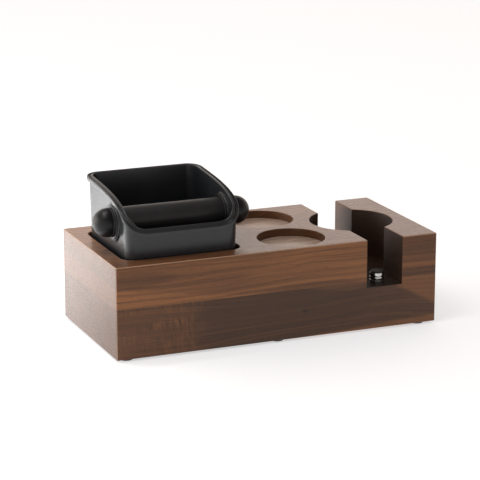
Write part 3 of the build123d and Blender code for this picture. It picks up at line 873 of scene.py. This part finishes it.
def knock_bin(material):
    """Rows of one grid run up the outside, over the rim and down the inside. A square of each
    wall is left out of it, and filled with the boss round the knock bar."""
    shell = Shell()
    columns, patches = bin_columns()
    count = len(columns)
    patch_low = BAR_Z - PATCH_HALF
    under = BIN_BOTTOM + BIN_ROUND
    floor = BIN_BOTTOM + BIN_FLOOR
    rows = [bin_row(columns, -BIN_ROUND - UNDER_STRIP, BIN_BOTTOM)]
    for out, up in arc((-BIN_ROUND, under), BIN_ROUND, -90, 0, ROUND_STEPS):
        rows.append(bin_row(columns, out, up))
    rows += [bin_row(columns, 0.0, z) for z in spaced(under, patch_low, WALL_ROWS)[1:]]
    outer_start = len(rows)

    def below_flange(x, y):
        return rim_height(x, y) - RIM_HEIGHT - RIM_FILLET

    for k in range(PATCH_CELLS + 1):
        share = k / PATCH_CELLS
        rows.append(bin_row(columns, 0.0, lambda x, y, t=share: (
            patch_low + t * (below_flange(x, y) - patch_low))))
    flange = [
        *arc((RIM_FILLET, -RIM_HEIGHT - RIM_FILLET), RIM_FILLET, 180, 90, FLANGE_STEPS)[1:],
        *arc((RIM_FLANGE - RIM_ROUND, RIM_ROUND - RIM_HEIGHT), RIM_ROUND, -90, 0, FLANGE_STEPS),
        *arc((RIM_FLANGE - RIM_LIP, -RIM_DROP - RIM_LIP), RIM_LIP, 0, 180, LIP_STEPS),
        *arc(GROOVE, GROOVE_RADIUS, 0, -180, LIP_STEPS),
        *arc((BEAD - BIN_WALL, -BEAD), BEAD, 0, 180, BEAD_STEPS),
    ]
    rows += [rim_row(columns, out, up) for out, up in flange]
    inner_start = len(rows)
    for k in range(PATCH_CELLS + 1):
        share = 1 - k / PATCH_CELLS
        rows.append(bin_row(columns, -BIN_WALL, lambda x, y, t=share: (
            patch_low + t * (rim_height(x, y) - BEAD_DEPTH - patch_low))))
    rows += [bin_row(columns, -BIN_WALL, z)
             for z in spaced(patch_low, floor + BIN_ROUND, INNER_ROWS)[1:]]
    inner_round = (-BIN_WALL - BIN_ROUND, floor + BIN_ROUND)
    for out, up in arc(inner_round, BIN_ROUND, 0, -90, ROUND_STEPS):
        rows.append(bin_row(columns, out, up))
    rows.append(bin_row(columns, -BIN_WALL - BIN_ROUND - FLOOR_STRIP, floor))
    grid = [shell.ring(points) for points in rows]

    def in_patch(row, column):
        in_rows = any(s <= row < s + PATCH_CELLS for s in (outer_start, inner_start))
        return in_rows and any(s <= column < s + PATCH_CELLS for s, _ in patches)

    for r in range(len(grid) - 1):
        for c in range(count):
            d = (c + 1) % count
            if not in_patch(r, c):
                shell.faces.append((grid[r][c], grid[r][d], grid[r + 1][d], grid[r + 1][c]))
    shell.cap(grid[0])
    shell.cap(grid[-1])

    boss_face = BIN_HALF_X + (BAR_Z - BIN_BOTTOM) * DRAFT
    for start, side in patches:
        ends = []
        for base, out, face in (
            (outer_start, 0.0, boss_face + BOSS_OUT),
            (inner_start, -BIN_WALL, boss_face - BIN_WALL - BOSS_IN),
        ):
            last = start + PATCH_CELLS
            # The inner rows run downwards, so both edges are walked from the same corner.
            low, high = (base, base + PATCH_CELLS) if out == 0 else (base + PATCH_CELLS, base)
            step = 1 if high > low else -1
            edge = [grid[low][c] for c in range(start, last)]
            edge += [grid[r][last] for r in range(low, high, step)]
            edge += [grid[high][c] for c in range(last, start, -1)]
            edge += [grid[r][start] for r in range(high, low, -step)]
            ends.append(boss_rings(shell, edge, side, out, face))
        shell.band(*ends)
    shell.piece("knock_bin_shell", "bin", ["knock_bin"], material)


# ---- Bushes, knock bar and rest, all turned shapes ----

BAR_AXIS = (BAR_Y, BAR_Z)


def bush(name, node, material):
    """Flanged liner, as one closed ring profile."""
    low, high = as_mm(node)
    body = BUSH_BORE + BUSH_WALL
    corners = [(low.x, BUSH_BORE), (low.x, BUSH_FLANGE_RADIUS),
               (low.x + BUSH_FLANGE, BUSH_FLANGE_RADIUS), (low.x + BUSH_FLANGE, body),
               (high.x - BUSH_FLANGE, body), (high.x - BUSH_FLANGE, BUSH_FLANGE_RADIUS),
               (high.x, BUSH_FLANGE_RADIUS), (high.x, BUSH_BORE)]
    shell = Shell()
    shell.lathe(eased(corners, BUSH_EASE, steps=3), BAR_AXIS, closed=True, sideways=True)
    shell.piece(name, "bin", [node], material)


def sleeve(material):
    corners = [(SLEEVE.x, 0.0), (SLEEVE.x, BAR_RADIUS),
               (SLEEVE_END.x, BAR_RADIUS), (SLEEVE_END.x, 0.0)]
    shell = Shell()
    shell.lathe(eased(corners, RUBBER_EASE, closed=False), BAR_AXIS, sideways=True)
    shell.piece("bar_sleeve_rubber", "bar", ["bar_sleeve"], material)


def end_cap(name, node, tip, side, material):
    """Domed end: a short straight part and a full half-round."""
    face = tip - side * END_CAP_LENGTH
    start = tip - side * BAR_RADIUS
    base = eased([(face, 0.0), (face, BAR_RADIUS), (start, BAR_RADIUS)], RUBBER_EASE,
                 closed=False)
    dome = [(start + side * BAR_RADIUS * math.sin(a), BAR_RADIUS * math.cos(a))
            for a in spaced(0, math.pi / 2, DOME_STEPS)[1:]]
    shell = Shell()
    shell.lathe([*base, *dome, (tip, 0.0)], BAR_AXIS, sideways=True)
    shell.piece(name, "bar", [node], material)


def rest_cap(material):
    radius = (CAP_END.x - CAP.x) / 2
    low = CAP.z + CAP_GROOVE_UP
    high, neck = low + CAP_GROOVE[0], radius - CAP_GROOVE[1]
    corners = [(CAP.z, 0.0), (CAP.z, radius), (low, radius), (low, neck),
               (high, neck), (high, radius), (CAP_END.z, radius), (CAP_END.z, 0.0)]
    shell = Shell()
    shell.lathe(eased(corners, CAP_EASE, steps=3, closed=False), REST)
    shell.piece("rest_cap_metal", "rest_screw", ["rest_cap"], material)


def rest_pad(material):
    radius = (PAD_END.x - PAD.x) / 2
    base = CAP_END.z + PAD_GAP
    corners = [(base, 0.0), (base, radius), (PAD_END.z, radius), (PAD_END.z, 0.0)]
    shell = Shell()
    shell.lathe(eased(corners, PAD_EASE, steps=4, closed=False), REST)
    shell.piece("rest_pad_rubber", "rest_carrier", ["rest_pad"], material)


def rest_stud(material):
    """M6 stud with its real thread, whose rows follow the helix."""
    radius = (STUD_END.x - STUD.x) / 2
    # A thread's profile, as shares of a turn and the depth that is cut there.
    flank = ((0.0, THREAD_DEPTH), (0.12, THREAD_DEPTH), (0.44, 0.0), (0.56, 0.0),
             (0.88, THREAD_DEPTH))
    turns = int((STUD_END.z - STUD.z) / THREAD_PITCH) + 2
    shell = Shell()
    rows = []
    for turn in range(-1, turns):
        for along, cut in flank:
            points = []
            for k in range(THREAD_STEPS + 1):
                a = 2 * math.pi * k / THREAD_STEPS
                z = STUD.z + (turn + along + k / THREAD_STEPS) * THREAD_PITCH
                z = min(max(z, STUD.z), STUD_END.z)
                taper = max(0.0, STUD_TAPER - (z - STUD.z))
                r = radius - max(cut, taper)
                points.append((REST[0] + r * math.cos(a), REST[1] + r * math.sin(a), z))
            rows.append(shell.ring(points))
    for first, second in zip(rows, rows[1:]):
        shell.band(first, second, closed=False)
    for row in (rows[0], rows[-1]):
        z = shell.points[row[0]][2]
        pole = shell.ring([(REST[0], REST[1], z)])[0]
        shell.faces.extend((pole, row[k], row[k + 1]) for k in range(THREAD_STEPS))
    shell.piece("rest_stud_thread", "rest_screw", ["rest_stud"], material)


def dress(node, material):
    """Gives a CAD node that is shown as it is its material."""
    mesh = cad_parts[node].data
    mesh.materials.clear()
    mesh.materials.append(material)


# ---- Studio ----

CAMERA_TARGET = (-0.0105, -0.0040, 0.0765)
CAMERA_DISTANCE = 1.9
CAMERA_AZIMUTH = -22.62
CAMERA_ELEVATION = 15.10
CAMERA_LENS = 161.4
FLOOR_GLOW = 0.53  # a light table, which keeps shadows faint
WARM_WHITE = (1.0, 0.90, 0.83, 1.0)
COOL_WHITE = (0.97, 1.0, 1.03, 1.0)  # evens out the warm backdrop's light on the floor
BACKDROP = (0.55, 1.75)  # in front of the object, and behind it
BACK_LEFT = (-0.45, 0.89, 0.0)  # where the backdrop is brightest
CEILING = 0.22  # share of the backdrop's light that comes from overhead
# Each light's name, place, target, size, power, and spread in degrees. The last one brightens
# the floor that the block's left face mirrors.
SOFTBOXES = (
    ("left_softbox", (-1.7, 1.0, 0.45), (0, 0, 0.05), (1.4, 0.9), 14, 180),
    ("top_softbox", (-0.65, -0.30, 1.3), (-0.05, 0, 0.08), (0.5, 0.5), 3.0, 180),
    ("floor_light", (-0.40, 0.31, 0.8), (-0.40, 0.31, 0.0), (0.36, 0.5), 2.6, 45),
)
FLOOR_REACH = 30.0


def aim(made, target):
    made.rotation_euler = (Vector(target) - made.location).to_track_quat("-Z", "Y").to_euler()


def add_camera():
    a, e = math.radians(CAMERA_AZIMUTH), math.radians(CAMERA_ELEVATION)
    back = Vector((math.sin(a) * math.cos(e), -math.cos(a) * math.cos(e), math.sin(e)))
    camera = bpy.data.objects.new("camera", bpy.data.cameras.new("camera"))
    camera.data.lens = CAMERA_LENS
    camera.data.sensor_width = 36
    camera.data.clip_end = 100
    camera.location = Vector(CAMERA_TARGET) + back * CAMERA_DISTANCE
    aim(camera, CAMERA_TARGET)
    bpy.context.scene.collection.objects.link(camera)
    bpy.context.scene.camera = camera


def add_softbox(name, place, target, size, power, spread):
    light = bpy.data.lights.new(name, "AREA")
    light.shape = "RECTANGLE"
    light.size, light.size_y = size
    light.energy = power
    light.spread = math.radians(spread)
    made = bpy.data.objects.new(name, light)
    made.visible_camera = False
    made.location = place
    aim(made, target)
    bpy.context.scene.collection.objects.link(made)


def add_floor():
    far = FLOOR_REACH
    mesh = bpy.data.meshes.new("floor")
    mesh.from_pydata([(-far, -far, 0), (far, -far, 0), (far, far, 0), (-far, far, 0)],
                     [], [(0, 1, 2, 3)])
    s = Surface("pale_floor")
    soft = s.noise(s.scaled(s.place, (900, 900, 900)), 2, 0.5)
    colour = s.ramp(soft, [(0.3, (0.84, 0.84, 0.84)), (0.7, (0.86, 0.86, 0.86))])
    glow = {"Emission Color": COOL_WHITE, "Emission Strength": FLOOR_GLOW}
    mesh.materials.append(s.finish(colour, 0.9, **glow))
    floor = bpy.data.objects.new("floor", mesh)
    bpy.context.scene.collection.objects.link(floor)


def add_world():
    """A studio with a warm white backdrop, brightest at the back left, and a dim ceiling."""
    world = bpy.data.worlds.new("studio")
    world.use_nodes = True
    tree = world.node_tree
    place = tree.nodes.new("ShaderNodeTexCoord").outputs["Generated"]

    def lit(direction, low, high, start, end):
        """Smooth change from start to end over directions ever closer to the one given."""
        node = tree.nodes.new("ShaderNodeVectorMath")
        node.operation = "DOT_PRODUCT"
        tree.links.new(place, node.inputs[0])
        node.inputs[1].default_value = direction
        rise = tree.nodes.new("ShaderNodeMapRange")
        rise.interpolation_type = "SMOOTHSTEP"
        tree.links.new(node.outputs["Value"], rise.inputs["Value"])
        limits = {"From Min": low, "From Max": high, "To Min": start, "To Max": end}
        for key, value in limits.items():
            rise.inputs[key].default_value = value
        return rise.outputs[0]

    both = tree.nodes.new("ShaderNodeMath")
    both.operation = "MULTIPLY"
    tree.links.new(lit(BACK_LEFT, -0.9, 0.5, *BACKDROP), both.inputs[0])
    tree.links.new(lit((0.0, 0.0, 1.0), 0.15, 0.75, 1.0, CEILING), both.inputs[1])
    background = tree.nodes["Background"]
    background.inputs["Color"].default_value = WARM_WHITE
    tree.links.new(both.outputs[0], background.inputs["Strength"])
    bpy.context.scene.world = world


def add_studio():
    add_world()
    for softbox in SOFTBOXES:
        add_softbox(*softbox)
    bpy.context.scene.view_settings.view_transform = "Standard"
    add_floor()
    add_camera()


def main():
    materials = make_materials()
    lower_board(materials["lower"])
    upper_board(materials["upper"])
    tower(materials["tower"])
    knock_bin(materials["abs"])
    bush("left_bush_ring", "left_bush", materials["nylon"])
    bush("right_bush_ring", "right_bush", materials["nylon"])
    sleeve(materials["bar"])
    end_cap("left_end_dome", "left_end_cap", LEFT_TIP, -1, materials["dome"])
    end_cap("right_end_dome", "right_end_cap", RIGHT_TIP, 1, materials["dome"])
    rest_cap(materials["steel"])
    rest_pad(materials["pad"])
    rest_stud(materials["steel"])
    for node in ("rubber_feet", "bin_pads"):
        dress(node, materials["foot"])
    for node in ("foot_washers", "foot_screws", "bar_rod", "left_cap_stud", "right_cap_stud"):
        dress(node, materials["zinc"])
    dress("rest_lock_nut", materials["steel"])
    dress("rest_insert", materials["brass"])
    add_studio()


main()
